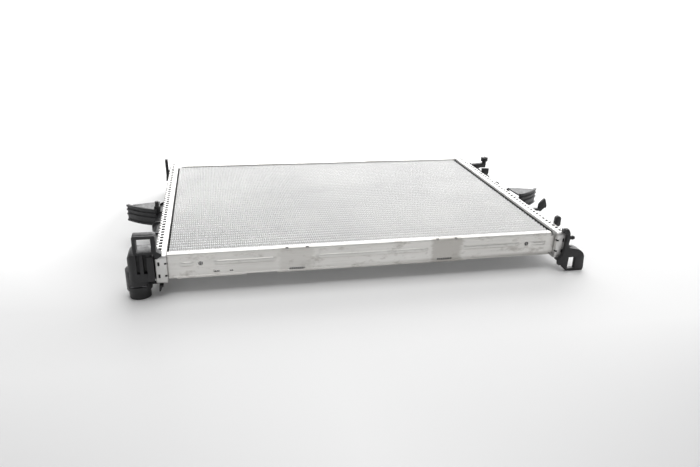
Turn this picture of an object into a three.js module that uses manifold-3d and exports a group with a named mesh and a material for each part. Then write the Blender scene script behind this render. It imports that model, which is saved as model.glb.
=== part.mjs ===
// Car radiator, lying flat: a brazed aluminium core between two header plates and two side plates, with a
// moulded plastic tank crimped into each header, quick-connect ports, a drain plug and snap-on brackets.
// Millimetres. +X runs from the left tank to the right one, +Y from the near side plate to the far one, and
// +Z up. The origin lies on the plane that the radiator rests on, under the middle of the core.
import * as THREE from "three";
import { mergeVertices } from "three/addons/utils/BufferGeometryUtils.js";
import Module from "manifold-3d";

const wasm = await Module();
wasm.setup();

// ---- driving dimensions ----
const GAP = 0.3; // clearance between neighbouring pieces
const REST_HEIGHT = 42.5; // from the resting plane up to the core's middle plane

const CORE_LENGTH = 600; // between the header plates
const CORE_DEPTH = 36; // fin depth
const PLATE_FACE = 223; // from the middle to the outer face of a side plate
const PLATE_HEIGHT = 40;
const PLATE_SHEET = 1.5;
const PLATE_FLANGE = 9; // inward reach of the side plate's flanges
const PLATE_TONGUE = { length: 6, halfHeight: 14 }; // the web's end past the flanges, at one end
const PLATE_CORNER = { length: 12, rise: 2.5 }; // the lower corner cut off at the other end
const TUBE_COUNT = 46;
const TUBE_THICKNESS = 2;
const TUBE_DEPTH = 33;
const TUBE_WALL = 0.4;
const FIN_END_GAP = 3; // between the last fin and the header plate

const HEADER_SHEET = 1.5;
const HEADER_DEPTH = 16; // outward depth of the header tray
const HEADER_HEIGHT = 45;
const HEADER_LENGTH = 462;
const HEADER_LIP = 4.5; // inward fold over the tank's foot
const CRIMP_PITCH = 10.7;
const CRIMP_COUNT = 42;
const CRIMP_WINDOW = { width: 4.6, depth: 3.4, out: 9.2 }; // along the edge, across it, from the tray's base
const END_WINDOW = { level: 9.3, height: 6, depth: 3, out: 11 }; // in each end wall, at +level and -level
const END_RELIEF = { level: 9, height: 3, reach: 3.5, inward: 5.5 }; // holes at the base of each end wall

const GASKET = { start: 1.8, end: 5.8, width: 3.8 };
const FOOT = { start: 6.1, end: 14.2 }; // the tank's foot, across the header tray
// A tank's outer side is `end` from the header's base, and `thinEnd` past its taper.
const TANK = { halfHeight: 17.4, halfLength: 222, end: 27.5, thinEnd: 17.6, wall: 2.6, round: 10 };
const LEFT_TAPER = [-20, 20]; // along the header: where the tank is thin, and where it is full again
const RIGHT_TAPER = [-110, -70];
const RIB_PLACES = [0, 46, 92, 138, 184];
const RIB = { thickness: 2, proud: 2 };

// Quick-connect sockets that face down. `drop` lowers the seal and clip of the one under the right tank.
const PORT = { bore: 12, throat: 9.5, nozzle: 15, collar: 17.5 };
const INLET = { out: 40, along: 219, drop: 0 };
const OUTLET = { out: 32.5, along: 203, drop: 11 };
const PORT_LEVELS = { throatTop: 19, collarTop: 0, throatBottom: -3, collarBottom: -30 };
const OUTLET_TOP = 2.5; // the outlet's roof, above its bore
const INLET_BODY = { near: 17, far: 52, start: 200, end: 236.5, bottom: -14, top: 27, round: 8 };
const PORT_SEAL = { groove: 15, top: -5, bottom: -11, wire: 1.4 };
const CLIP = { wire: 1, halfSpan: 11.4, level: -22, legEnd: -7, bend: 14.6, corner: 4 };

const DRAIN = { out: 21.5, along: 95, boss: 7.5, bore: 5.3, bossBottom: -28 };
const DRAIN_PLUG = { stem: 5, head: 7.2, headTop: -30.6, headBottom: -34, wingBottom: -40, tipTop: -15.5 };

// The tongue under a tank's thin end, which a corner bracket slides over.
const TONGUE = {
  root: 12,
  near: 16.9,
  far: 21,
  along: -212,
  halfWidth: 3,
  bottom: -23,
  elbow: -16.5,
  top: -9,
};
const BRACKET = { face: 238, back: 209, lugBottom: -34 }; // a corner bracket's reach along the header

// ---- materials ----
const aluminium = (color, roughness) =>
  new THREE.MeshStandardMaterial({ color, roughness, metalness: 0.9 });
const plastic = (color, roughness) =>
  new THREE.MeshStandardMaterial({ color, roughness, metalness: 0 });

const finAluminium = aluminium(0xb4b4b6, 0.6);
const headerAluminium = aluminium(0xdcdcda, 0.45);
const plateAluminium = aluminium(0xc6c4bd, 0.5);
const tankPlastic = plastic(0x1b1c1f, 0.5);
const bracketPlastic = plastic(0x161618, 0.55);
const drainPlastic = plastic(0x2b2c2f, 0.5);
const sealRubber = plastic(0x101011, 0.85);
const ringPlastic = plastic(0xd9d2bd, 0.5);
const springSteel = new THREE.MeshStandardMaterial({ color: 0x9a9c9f, roughness: 0.3, metalness: 1 });

// ---- solids ----
const X_AXIS = new THREE.Vector3(1, 0, 0);
const Y_AXIS = new THREE.Vector3(0, 1, 0);
const Z_AXIS = new THREE.Vector3(0, 0, 1);

function solidFrom(geometry) {
  const bare = geometry.index ? geometry.toNonIndexed() : geometry.clone();
  bare.deleteAttribute("normal");
  bare.deleteAttribute("uv");
  const merged = mergeVertices(bare, 1e-4);
  const vertProperties = merged.attributes.position.array;
  const triVerts = new Uint32Array(merged.index.array);
  return new wasm.Manifold(new wasm.Mesh({ numProp: 3, vertProperties, triVerts }));
}

function geometryFrom(solid) {
  const { vertProperties, triVerts } = solid.getMesh();
  const geometry = new THREE.BufferGeometry();
  geometry.setAttribute("position", new THREE.BufferAttribute(vertProperties, 3));
  geometry.setIndex(new THREE.BufferAttribute(triVerts, 1));
  geometry.computeVertexNormals();
  return geometry;
}

const join = (...solids) => solids.flat().reduce((whole, solid) => whole.add(solid));
const cut = (solid, ...tools) => tools.flat().reduce((rest, tool) => rest.subtract(tool), solid);
const common = (a, b) => a.intersect(b);

// A box from its extents along X, Y and Z.
function box([x0, x1], [y0, y1], [z0, z1]) {
  const geometry = new THREE.BoxGeometry(x1 - x0, y1 - y0, z1 - z0);
  geometry.translate((x0 + x1) / 2, (y0 + y1) / 2, (z0 + z1) / 2);
  return solidFrom(geometry);
}

// The extent that reaches `half` to each side of `middle`.
const about = (half, middle = 0) => [middle - half, middle + half];

function outlineOf(points) {
  return new THREE.Shape(points.map(([a, b]) => new THREE.Vector2(a, b)));
}

function roundedRectangle([a0, a1], [b0, b1], radius) {
  const shape = new THREE.Shape();
  shape.moveTo(a0 + radius, b0);
  shape.lineTo(a1 - radius, b0);
  shape.absarc(a1 - radius, b0 + radius, radius, -Math.PI / 2, 0);
  shape.lineTo(a1, b1 - radius);
  shape.absarc(a1 - radius, b1 - radius, radius, 0, Math.PI / 2);
  shape.lineTo(a0 + radius, b1);
  shape.absarc(a0 + radius, b1 - radius, radius, Math.PI / 2, Math.PI);
  shape.lineTo(a0, b0 + radius);
  shape.absarc(a0 + radius, b0 + radius, radius, Math.PI, 1.5 * Math.PI);
  return shape;
}

function extrude(shape, length, curveSegments, steps = 1) {
  return new THREE.ExtrudeGeometry(shape, { depth: length, bevelEnabled: false, curveSegments, steps });
}

// A (y, z) outline swept along X.
function prismX(shape, [x0, x1], curveSegments = 4) {
  const geometry = extrude(shape, x1 - x0, curveSegments);
  geometry.applyMatrix4(new THREE.Matrix4().makeBasis(Y_AXIS, Z_AXIS, X_AXIS));
  geometry.translate(x0, 0, 0);
  return solidFrom(geometry);
}

// An (x, z) outline swept along Y, as a geometry and as a solid.
function sweptAlongY(shape, [y0, y1], curveSegments, steps) {
  const geometry = extrude(shape, y1 - y0, curveSegments, steps);
  geometry.applyMatrix4(new THREE.Matrix4().makeBasis(X_AXIS, Z_AXIS, Y_AXIS.clone().negate()));
  return geometry.translate(0, y1, 0);
}
function prismY(shape, extent, curveSegments = 4) {
  return solidFrom(sweptAlongY(shape, extent, curveSegments));
}

// An (x, y) outline swept along Z.
function prismZ(shape, [z0, z1], curveSegments = 4) {
  const geometry = extrude(shape, z1 - z0, curveSegments);
  geometry.translate(0, 0, z0);
  return solidFrom(geometry);
}

function uprightCylinder(radius, [x, y], [z0, z1], segments = 32) {
  const geometry = new THREE.CylinderGeometry(radius, radius, z1 - z0, segments);
  geometry.rotateX(Math.PI / 2);
  geometry.translate(x, y, (z0 + z1) / 2);
  return solidFrom(geometry);
}

// A solid of revolution about an upright axis, from [radius, height] points that start and end on the axis
// or close on themselves.
function turned(profile, segments) {
  const points = profile.map(([radius, height]) => new THREE.Vector2(radius, height));
  const geometry = new THREE.LatheGeometry(points, segments);
  geometry.rotateX(Math.PI / 2);
  return solidFrom(geometry);
}

function ring(majorRadius, minorRadius, height) {
  const geometry = new THREE.TorusGeometry(majorRadius, minorRadius, 6, 24);
  geometry.translate(0, 0, height);
  return solidFrom(geometry);
}

function piece(name, solid, material) {
  const mesh = new THREE.Mesh(geometryFrom(solid), material);
  mesh.name = name;
  return mesh;
}

// ---- core ----
const coreHalfWidth = PLATE_FACE - PLATE_SHEET - GAP;
const tubePitch = (2 * coreHalfWidth + TUBE_THICKNESS) / (TUBE_COUNT + 1);
const tubeRows = Array.from({ length: TUBE_COUNT }, (_, i) => (i - (TUBE_COUNT - 1) / 2) * tubePitch);

// The straight prism that a flat tube fills, grown by `extra` in thickness and depth.
function tubePrism(y, extra, halfLength) {
  return box(about(halfLength), about(TUBE_THICKNESS / 2 + extra, y), about(TUBE_DEPTH / 2 + extra));
}

// Fins and tubes are one brazed block: hollow flat tubes that run out through the header plates.
function coreSolid() {
  const finEnd = CORE_LENGTH / 2 - FIN_END_GAP;
  const tubeEnd = CORE_LENGTH / 2 + HEADER_SHEET + 2;
  const face = CORE_DEPTH / 2;
  const finBlock = box(about(finEnd), about(coreHalfWidth), about(face));
  const tubes = tubeRows.map((y) => tubePrism(y, 0, tubeEnd));
  const passages = tubeRows.map((y) => tubePrism(y, -TUBE_WALL, tubeEnd + 1));
  return cut(join(finBlock, tubes), passages);
}

// ---- headers and gaskets, in an end's own frame: +X outward from the core's end, +Y along the header ----
const headerHalfHeight = HEADER_HEIGHT / 2;
const headerHalfLength = HEADER_LENGTH / 2;
const crimpPlaces = Array.from({ length: CRIMP_COUNT }, (_, i) => (i - (CRIMP_COUNT - 1) / 2) * CRIMP_PITCH);

function headerSolid() {
  const tray = box([0, HEADER_DEPTH], about(headerHalfLength), about(headerHalfHeight));
  const inside = box(
    [HEADER_SHEET, HEADER_DEPTH - HEADER_SHEET],
    about(headerHalfLength - HEADER_SHEET),
    about(headerHalfHeight - HEADER_SHEET),
  );
  const mouth = box(
    [HEADER_SHEET, HEADER_DEPTH + 1],
    about(headerHalfLength - HEADER_LIP),
    about(headerHalfHeight - HEADER_LIP),
  );
  const windowOut = about(CRIMP_WINDOW.depth / 2, CRIMP_WINDOW.out);
  const longWindows = crimpPlaces.map((y) =>
    box(windowOut, about(CRIMP_WINDOW.width / 2, y), about(headerHalfHeight + 1)),
  );
  const endWindows = [-END_WINDOW.level, END_WINDOW.level].map((z) =>
    box(
      about(END_WINDOW.depth / 2, END_WINDOW.out),
      about(headerHalfLength + 1),
      about(END_WINDOW.height / 2, z),
    ),
  );
  const reliefAlong = [headerHalfLength - END_RELIEF.inward, headerHalfLength + 1];
  const reliefs = [-END_RELIEF.level, END_RELIEF.level].flatMap((z) =>
    [reliefAlong, reliefAlong.map((y) => -y).reverse()].map((along) =>
      box([-1, END_RELIEF.reach], along, about(END_RELIEF.height / 2, z)),
    ),
  );
  const tubeSlots = tubeRows.map((y) => tubePrism(y, GAP, HEADER_SHEET + 1));
  return cut(tray, join(inside, mouth), longWindows, endWindows, reliefs, tubeSlots);
}

// A rectangular rubber loop in the header's tray, under the tank's foot.
function gasketSolid() {
  const halfLength = headerHalfLength - HEADER_SHEET - GAP;
  const halfHeight = headerHalfHeight - HEADER_SHEET - GAP;
  const loop = box([GASKET.start, GASKET.end], about(halfLength), about(halfHeight));
  const opening = box([0, HEADER_DEPTH], about(halfLength - GASKET.width), about(halfHeight - GASKET.width));
  return cut(loop, opening);
}

// ---- tanks ----
// Half of a dome's outline: from the header side out to `end`, with its two outer corners rounded.
function domeOutline(start, end, half, radius) {
  const shape = new THREE.Shape();
  shape.moveTo(start, -half);
  shape.lineTo(end - radius, -half);
  shape.absarc(end - radius, radius - half, radius, -Math.PI / 2, 0);
  shape.absarc(end - radius, half - radius, radius, 0, Math.PI / 2);
  shape.lineTo(start, half);
  return shape;
}

// How far out a tank reaches at a place along it.
function tankReach(along, [thinAt, fullAt]) {
  const share = Math.min(Math.max((along - thinAt) / (fullAt - thinAt), 0), 1);
  return TANK.thinEnd + share * (TANK.end - TANK.thinEnd);
}

// The dome over the tank's whole length, drawn in by `inset`.
function domeSweep(start, inset, taper) {
  const end = TANK.end - inset;
  const half = TANK.halfLength + 1;
  const section = domeOutline(start, end, TANK.halfHeight - inset, TANK.round - inset / 2);
  const geometry = sweptAlongY(section, about(half), 4, 3);
  const position = geometry.attributes.position;
  const stations = [-half, ...taper, half];
  for (let i = 0; i < position.count; i++) {
    const step = Math.round(((position.getY(i) + half) / (2 * half)) * 3);
    const share = (tankReach(stations[step], taper) - inset - start) / (end - start);
    position.setXY(i, start + (position.getX(i) - start) * share, stations[step]);
  }
  return solidFrom(geometry);
}

// Seen from above, everything on the tank's side of its rounded ends.
function endRounding(start, inset) {
  const half = TANK.halfLength - inset;
  const radius = TANK.round - inset / 2;
  const clear = TANK.end + 1;
  const shape = new THREE.Shape();
  shape.moveTo(start - 1, -half);
  shape.lineTo(TANK.thinEnd - inset - radius, -half);
  shape.absarc(TANK.thinEnd - inset - radius, radius - half, radius, -Math.PI / 2, 0);
  shape.lineTo(clear, radius - half);
  shape.lineTo(clear, half - radius);
  shape.absarc(TANK.end - inset - radius, half - radius, radius, 0, Math.PI / 2);
  shape.lineTo(start - 1, half);
  return shape;
}

// The tank's body, drawn in by `inset`.
function domed(start, inset, taper) {
  const rounding = prismZ(endRounding(start, inset), about(TANK.halfHeight + 1), 4);
  return common(domeSweep(start, inset, taper), rounding);
}

function tankFoot() {
  const halfLength = headerHalfLength - HEADER_SHEET - GAP;
  const halfHeight = headerHalfHeight - HEADER_SHEET - GAP;
  return box([FOOT.start, FOOT.end], about(halfLength), about(halfHeight));
}

function tankRibs(taper) {
  return RIB_PLACES.map((y) => {
    const end = tankReach(y, taper) + RIB.proud;
    const halfHeight = TANK.halfHeight + RIB.proud;
    const outline = domeOutline(HEADER_DEPTH + GAP, end, halfHeight, TANK.round - RIB.proud);
    return prismY(outline, about(RIB.thickness / 2, y), 3);
  });
}

// ---- ports ----
function portCylinder(port, radius, [bottom, top], segments = 28) {
  return uprightCylinder(radius, [port.out, port.along], [bottom - port.drop, top - port.drop], segments);
}

// A box on the tank's end, rounded from the front and from above, with a collar and a nozzle under it.
function inletOutside() {
  const { near, far, start, end, bottom, top, round } = INLET_BODY;
  const body = common(
    prismZ(roundedRectangle([near, far], [start, end], round), [bottom, top], 4),
    prismY(roundedRectangle([near, far], [bottom, top], round), [start, end], 4),
  );
  const sideBlock = box([near, 25.3], [225, 238], [-13.5, 23.5]);
  const collar = portCylinder(INLET, PORT.collar, [PORT_LEVELS.collarBottom, PORT_LEVELS.collarTop]);
  const nozzle = portCylinder(INLET, PORT.nozzle, [-REST_HEIGHT, PORT_LEVELS.collarTop]);
  return join(body, sideBlock, collar, nozzle, inletLatch());
}

// A strip from the inlet's collar to under the header's corner, with a hook hanging from its end.
function inletLatch() {
  const strip = box([8, 30], [214, 219], [-26.5, -24]);
  const hook = outlineOf([[7, -24], [12.4, -24], [13.2, -33], [11, -33], [8.6, -26.5], [7, -26]]);
  return join(strip, prismY(hook, [214, 231]));
}

// Upright pockets in the front of the inlet's box.
function inletPockets() {
  const levels = [-2, INLET_BODY.top + 1];
  return [
    box([25.3, 30.5], [228, INLET_BODY.end + 2], levels),
    box([35, 39.5], [230.5, INLET_BODY.end + 2], levels),
  ];
}

// A short port under the right tank, cut back where it would meet the header.
function outletOutside() {
  const top = PORT_LEVELS.throatBottom + OUTLET_TOP;
  const collar = portCylinder(OUTLET, PORT.collar, [PORT_LEVELS.collarBottom, top]);
  const nozzle = portCylinder(OUTLET, PORT.nozzle, [OUTLET.drop - REST_HEIGHT, top]);
  return cut(join(collar, nozzle), headerRoom(OUTLET, PORT.collar));
}

// The room that the header takes from something round under the tank.
function headerRoom(place, radius) {
  const upTo = headerHalfHeight + GAP;
  return box([-1, HEADER_DEPTH + GAP], about(radius + 1, place.along), [-upTo, 0]);
}

// The seal's groove and the clip's channel, which every port has, and its bore up to the throat.
function portSocket(port) {
  const bore = portCylinder(port, PORT.bore, [-REST_HEIGHT - 1 + port.drop, PORT_LEVELS.throatBottom], 24);
  const groove = portCylinder(port, PORT_SEAL.groove, [PORT_SEAL.bottom, PORT_SEAL.top], 24);
  const slotHalf = CLIP.wire + GAP;
  const level = CLIP.level - port.drop;
  const slots = [-1, 1].map((side) =>
    box(
      about(slotHalf, port.out + side * CLIP.halfSpan),
      [port.along + CLIP.legEnd - 2, port.along + PORT.collar + 1],
      about(slotHalf, level),
    ),
  );
  const frontRecess = box(
    about(CLIP.halfSpan + slotHalf, port.out),
    [port.along + PORT.bore - 2, port.along + PORT.collar + 1],
    about(slotHalf, level),
  );
  return [bore, groove, ...slots, frontRecess];
}

function inletInside() {
  const throat = portCylinder(INLET, PORT.throat, [PORT_LEVELS.throatBottom - 1, PORT_LEVELS.throatTop], 24);
  const duct = box([TANK.end - 8, INLET.out], about(7, 211), about(11, 3));
  return [...portSocket(INLET), throat, duct, ...inletPockets()];
}

function outletInside() {
  const duct = box([TANK.end - 8, TANK.end - TANK.wall], about(8, OUTLET.along), [-15, -9]);
  return [...portSocket(OUTLET), duct];
}

// The drain's boss under the tank, cut back where it would meet the header, and its bore up into the tank.
function drainBoss() {
  const boss = uprightCylinder(DRAIN.boss, [DRAIN.out, DRAIN.along], [DRAIN.bossBottom, -8], 24);
  return cut(boss, headerRoom(DRAIN, DRAIN.boss));
}
function drainBore() {
  return uprightCylinder(DRAIN.bore, [DRAIN.out, DRAIN.along], [DRAIN.bossBottom - 1, -9], 24);
}

function bracketTongue() {
  const { root, near, far, along, halfWidth, bottom, elbow, top } = TONGUE;
  const width = about(halfWidth, along);
  return join(box([root, far], width, [elbow, top]), box([near, far], width, [bottom, top]));
}

// What both ends' mouldings share, before and after the features of each are joined on.
function tankOutside(taper) {
  return join(tankFoot(), domed(FOOT.start, 0, taper), tankRibs(taper), bracketTongue());
}
function tankCavity(taper) {
  return domed(FOOT.start - 1, TANK.wall, taper);
}

// An arm that curves out from the tank: a tall ribbed web, with a gusset from it back to the tank.
// `side` is 1 for an arm that bends towards +Y and -1 for one that bends towards -Y.
const ARM = { root: [25, -3], bend: [50, 4], tip: [72.5, 27], bottom: -2.7, top: 25.3, web: 3, ribOut: 1.6 };
const ARM_RIB_HEIGHT = 3;
const ARM_RIBS = [ARM.bottom, 8, 15.5, ARM.top - ARM_RIB_HEIGHT];
const ARM_GUSSET = { edge: [[67, 25], [65, 30], [22, 41]], bottom: 20.5, top: 23 };
const ARM_STEPS = 7;

function armSolid(along, side) {
  const place = ([x, y]) => new THREE.Vector2(x, along + side * y);
  const curve = new THREE.QuadraticBezierCurve(place(ARM.root), place(ARM.bend), place(ARM.tip));
  const strip = (inner, outer) => {
    const edge = (offset) =>
      curve.getPoints(ARM_STEPS).map((point, i) => {
        const tangent = curve.getTangent(i / ARM_STEPS);
        return point.add(new THREE.Vector2(tangent.y, -tangent.x).multiplyScalar(offset * side));
      });
    const points = [...edge(inner), ...edge(outer).reverse()];
    return new THREE.Shape(side > 0 ? points : points.reverse());
  };
  const web = prismZ(strip(-ARM.web / 2, ARM.web / 2), [ARM.bottom, ARM.top]);
  const ribs = ARM_RIBS.map((z) =>
    prismZ(strip(ARM.web / 2 - 0.5, ARM.web / 2 + ARM.ribOut), [z, z + ARM_RIB_HEIGHT]),
  );
  const gussetPoints = [ARM.root, ARM.bend, ...ARM_GUSSET.edge].map(place);
  const gusset = prismZ(new THREE.Shape(gussetPoints), [ARM_GUSSET.bottom, ARM_GUSSET.top]);
  return join(web, ribs, gusset);
}

// A small upright pin on a foot.
const STUB = { out: 24, radius: 5, shoulder: 28, pin: 3.2, top: 35.8 };
function locatingStub(along) {
  return join(
    uprightCylinder(STUB.radius, [STUB.out, along], [0, STUB.shoulder], 20),
    uprightCylinder(STUB.pin, [STUB.out, along], [STUB.shoulder - 1, STUB.top], 20),
  );
}

// A thin upright fin across the tank's thin end, with a toe that leans out at its foot.
function endFin() {
  const outline = outlineOf([
    [8, -10], [21, -9], [26.5, -11], [25.5, 2], [26, 34], [20.8, 34], [20.5, 12], [8, 8],
  ]);
  return prismY(outline, [-TANK.halfLength - 2.5, -TANK.halfLength + 6]);
}

// A leaf-shaped tab that stands on a strut beside the tank.
function leafTab(along) {
  const leaf = new THREE.Shape();
  leaf.moveTo(50, 3);
  leaf.lineTo(56, 9);
  leaf.lineTo(60.8, 10.5);
  leaf.quadraticCurveTo(61, 18, 56, 27.3);
  leaf.quadraticCurveTo(48, 22, 46, 15);
  leaf.lineTo(46, 5);
  const strut = box([15, 52], about(3, along), [5, 9]);
  return join(prismY(leaf, about(2.5, along)), strut);
}

// A small rounded tab on top of the tank.
function roundTab(along) {
  const outline = new THREE.Shape();
  outline.moveTo(12, 13);
  outline.lineTo(12, 4);
  outline.lineTo(20, 5);
  outline.lineTo(30.6, 17);
  outline.lineTo(30.2, 26);
  outline.absarc(25.5, 27.5, 4.7, 0, Math.PI);
  outline.lineTo(20.5, 18);
  outline.lineTo(17, 13);
  return prismY(outline, about(3, along));
}

// A horizontal arm with a slotted pin head standing on its end.
const PIN_ARM = { near: 18, far: 46, bottom: 17, top: 26.5, halfWidth: 5 };
const PIN_HEAD = { out: 43.5, neck: 4.6, radius: 7.5, bottom: 30.5, top: 38.5, slot: 1.2 };
function pinArm(along) {
  const { near, far, bottom, top, halfWidth } = PIN_ARM;
  const side = outlineOf([
    [near, bottom - 4], [26, bottom - 4], [34, bottom], [far, bottom], [far, top], [near, top - 2],
  ]);
  const centre = [PIN_HEAD.out, along];
  const pin = join(
    uprightCylinder(PIN_HEAD.neck, centre, [top - 2, PIN_HEAD.bottom + 1], 20),
    uprightCylinder(PIN_HEAD.radius, centre, [PIN_HEAD.bottom, PIN_HEAD.top], 20),
  );
  const slot = box(
    about(PIN_HEAD.slot, PIN_HEAD.out),
    about(PIN_HEAD.radius + 1, along),
    [PIN_HEAD.bottom + 2, PIN_HEAD.top + 1],
  );
  return cut(join(prismY(side, about(halfWidth, along)), pin), slot);
}

// A square tab that stands across the tank and overhangs its outer side.
function squareTab(along) {
  const outline = outlineOf([[17.5, 12], [25, 8], [33.5, 16.5], [33.5, 28], [17.5, 28.8]]);
  return prismY(outline, about(1.5, along));
}

// The vent hose's nipple, along X, with two barbs.
const NIPPLE = { along: -214.5, level: 5.5, start: 13, end: 41, radius: 3, barb: 3.6, bore: 1.6 };
const NIPPLE_BARBS = [NIPPLE.end - 11, NIPPLE.end - 6, NIPPLE.end - 1];
function nipple() {
  const profile = [[0, NIPPLE.start], [NIPPLE.radius, NIPPLE.start]];
  for (const barbEnd of NIPPLE_BARBS) {
    profile.push([NIPPLE.radius, barbEnd - 3], [NIPPLE.barb, barbEnd - 2.6], [NIPPLE.radius, barbEnd]);
  }
  profile.push([NIPPLE.radius - 0.4, NIPPLE.end], [0, NIPPLE.end]);
  return turned(profile, 16).rotate([0, 90, 0]).translate([0, NIPPLE.along, NIPPLE.level]);
}
function nippleBore() {
  const length = NIPPLE.end - NIPPLE.start + 2;
  const geometry = new THREE.CylinderGeometry(NIPPLE.bore, NIPPLE.bore, length, 12);
  geometry.rotateZ(Math.PI / 2);
  geometry.translate((NIPPLE.start + NIPPLE.end) / 2, NIPPLE.along, NIPPLE.level);
  return solidFrom(geometry);
}

function leftTankSolid() {
  const features = [inletOutside(), armSolid(47, -1), locatingStub(42), endFin(), drainBoss()];
  const outside = join(tankOutside(LEFT_TAPER), features);
  return cut(outside, tankCavity(LEFT_TAPER), inletInside(), drainBore());
}

function rightTankSolid() {
  const tabs = [leafTab(-84), roundTab(-183), squareTab(110), pinArm(157), nipple()];
  const outside = join(tankOutside(RIGHT_TAPER), outletOutside(), armSolid(-45, 1), tabs);
  return cut(outside, tankCavity(RIGHT_TAPER), outletInside(), nippleBore());
}

// ---- port and drain fittings, each about its own upright axis ----
// A U of spring wire about the port's axis: two legs through the collar's slots, joined across its front.
function wireClipSolid() {
  const at = (x, y) => new THREE.Vector3(x, y, 0);
  const path = new THREE.CurvePath();
  const straight = (from, to) => path.add(new THREE.LineCurve3(from, to));
  const turn = (from, corner, to) => path.add(new THREE.QuadraticBezierCurve3(from, corner, to));
  const legTop = CLIP.bend - CLIP.corner;
  const crossEnd = CLIP.halfSpan - CLIP.corner;
  straight(at(-CLIP.halfSpan, CLIP.legEnd), at(-CLIP.halfSpan, legTop));
  turn(at(-CLIP.halfSpan, legTop), at(-CLIP.halfSpan, CLIP.bend), at(-crossEnd, CLIP.bend));
  straight(at(-crossEnd, CLIP.bend), at(crossEnd, CLIP.bend));
  turn(at(crossEnd, CLIP.bend), at(CLIP.halfSpan, CLIP.bend), at(CLIP.halfSpan, legTop));
  straight(at(CLIP.halfSpan, legTop), at(CLIP.halfSpan, CLIP.legEnd));
  const round = new THREE.Shape().absarc(0, 0, CLIP.wire, 0, 2 * Math.PI);
  return solidFrom(new THREE.ExtrudeGeometry(round, { extrudePath: path, steps: 24, curveSegments: 6 }));
}

function sealRingSolid() {
  return ring(PORT_SEAL.groove - PORT_SEAL.wire - GAP, PORT_SEAL.wire, PORT_SEAL.top - PORT_SEAL.wire - GAP);
}

function backingRingSolid() {
  const outer = PORT_SEAL.groove - GAP;
  const inner = PORT.bore + GAP;
  const bottom = PORT_SEAL.bottom + GAP;
  const top = bottom + 1.8;
  return turned([[inner, bottom], [outer, bottom], [outer, top], [inner, top], [inner, bottom]], 28);
}

function drainPlugSolid() {
  const turnedPart = turned(
    [
      [0, DRAIN_PLUG.headBottom],
      [DRAIN_PLUG.head, DRAIN_PLUG.headBottom],
      [DRAIN_PLUG.head, DRAIN_PLUG.headTop],
      [DRAIN_PLUG.stem, DRAIN_PLUG.headTop],
      [DRAIN_PLUG.stem, DRAIN_PLUG.tipTop - 1.5],
      [DRAIN_PLUG.stem - 1.2, DRAIN_PLUG.tipTop],
      [0, DRAIN_PLUG.tipTop],
    ],
    24,
  );
  const wing = box(about(1.6), about(DRAIN_PLUG.head), [DRAIN_PLUG.wingBottom, DRAIN_PLUG.headBottom + 1]);
  return join(turnedPart, wing);
}

// ---- corner brackets, in an end's own frame ----
// Stands on the inlet's housing: an upright sleeve with a window through it, and a hook over the header.
const LOOP = { left: 12, right: 42.5, foot: 27.3, top: 54.5, back: 221, front: 237 };
const LOOP_WINDOW = { left: 18.2, right: 38, bottom: 30, top: 50 };
function loopBracketSolid() {
  const sleeve = prismY(
    roundedRectangle([LOOP.left, LOOP.right], [LOOP.foot, LOOP.top], 2.5),
    [LOOP.back, LOOP.front],
  );
  const window = box(
    [LOOP_WINDOW.left, LOOP_WINDOW.right],
    [LOOP.back - 1, LOOP.front + 1],
    [LOOP_WINDOW.bottom, LOOP_WINDOW.top],
  );
  const topGroove = box(
    [LOOP.left - 1, LOOP.right + 1],
    [LOOP.front - 4.4, LOOP.front - 2.8],
    [LOOP.top - 1.8, LOOP.top + 1],
  );
  const over = headerHalfHeight + GAP;
  const hook = prismY(outlineOf([[18, over], [18, 31.5], [14.6, 31.6], [5.9, 26], [5.9, over]]), [222, 235]);
  const flap = prismY(
    outlineOf([[5.9, 26], [5.9, 23.5], [11.8, 18.6], [15.6, 19.4], [15.6, over], [18, 31.5], [14.6, 31.6]]),
    [headerHalfLength + GAP, 235],
  );
  const housingRoom = box([16.6, INLET_BODY.far], [INLET_BODY.start, 240], [0, LOOP.foot]);
  return join(cut(sleeve, window, topGroove), cut(join(hook, flap), housingRoom));
}

// A block under the thin end of the tank, and the pocket in it for the tank's tongue.
const LUG_FAR = TONGUE.far + GAP + 1.5;
function tongueLug() {
  const top = -TANK.halfHeight - GAP;
  const along = [-BRACKET.face + 5, -BRACKET.back + 2];
  const lug = box([HEADER_DEPTH + GAP, LUG_FAR], along, [BRACKET.lugBottom, top]);
  const pocket = box(
    [HEADER_DEPTH, TONGUE.far + GAP],
    about(TONGUE.halfWidth + GAP, TONGUE.along),
    [TONGUE.bottom - GAP, top + 1],
  );
  return { lug, pocket };
}

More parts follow.
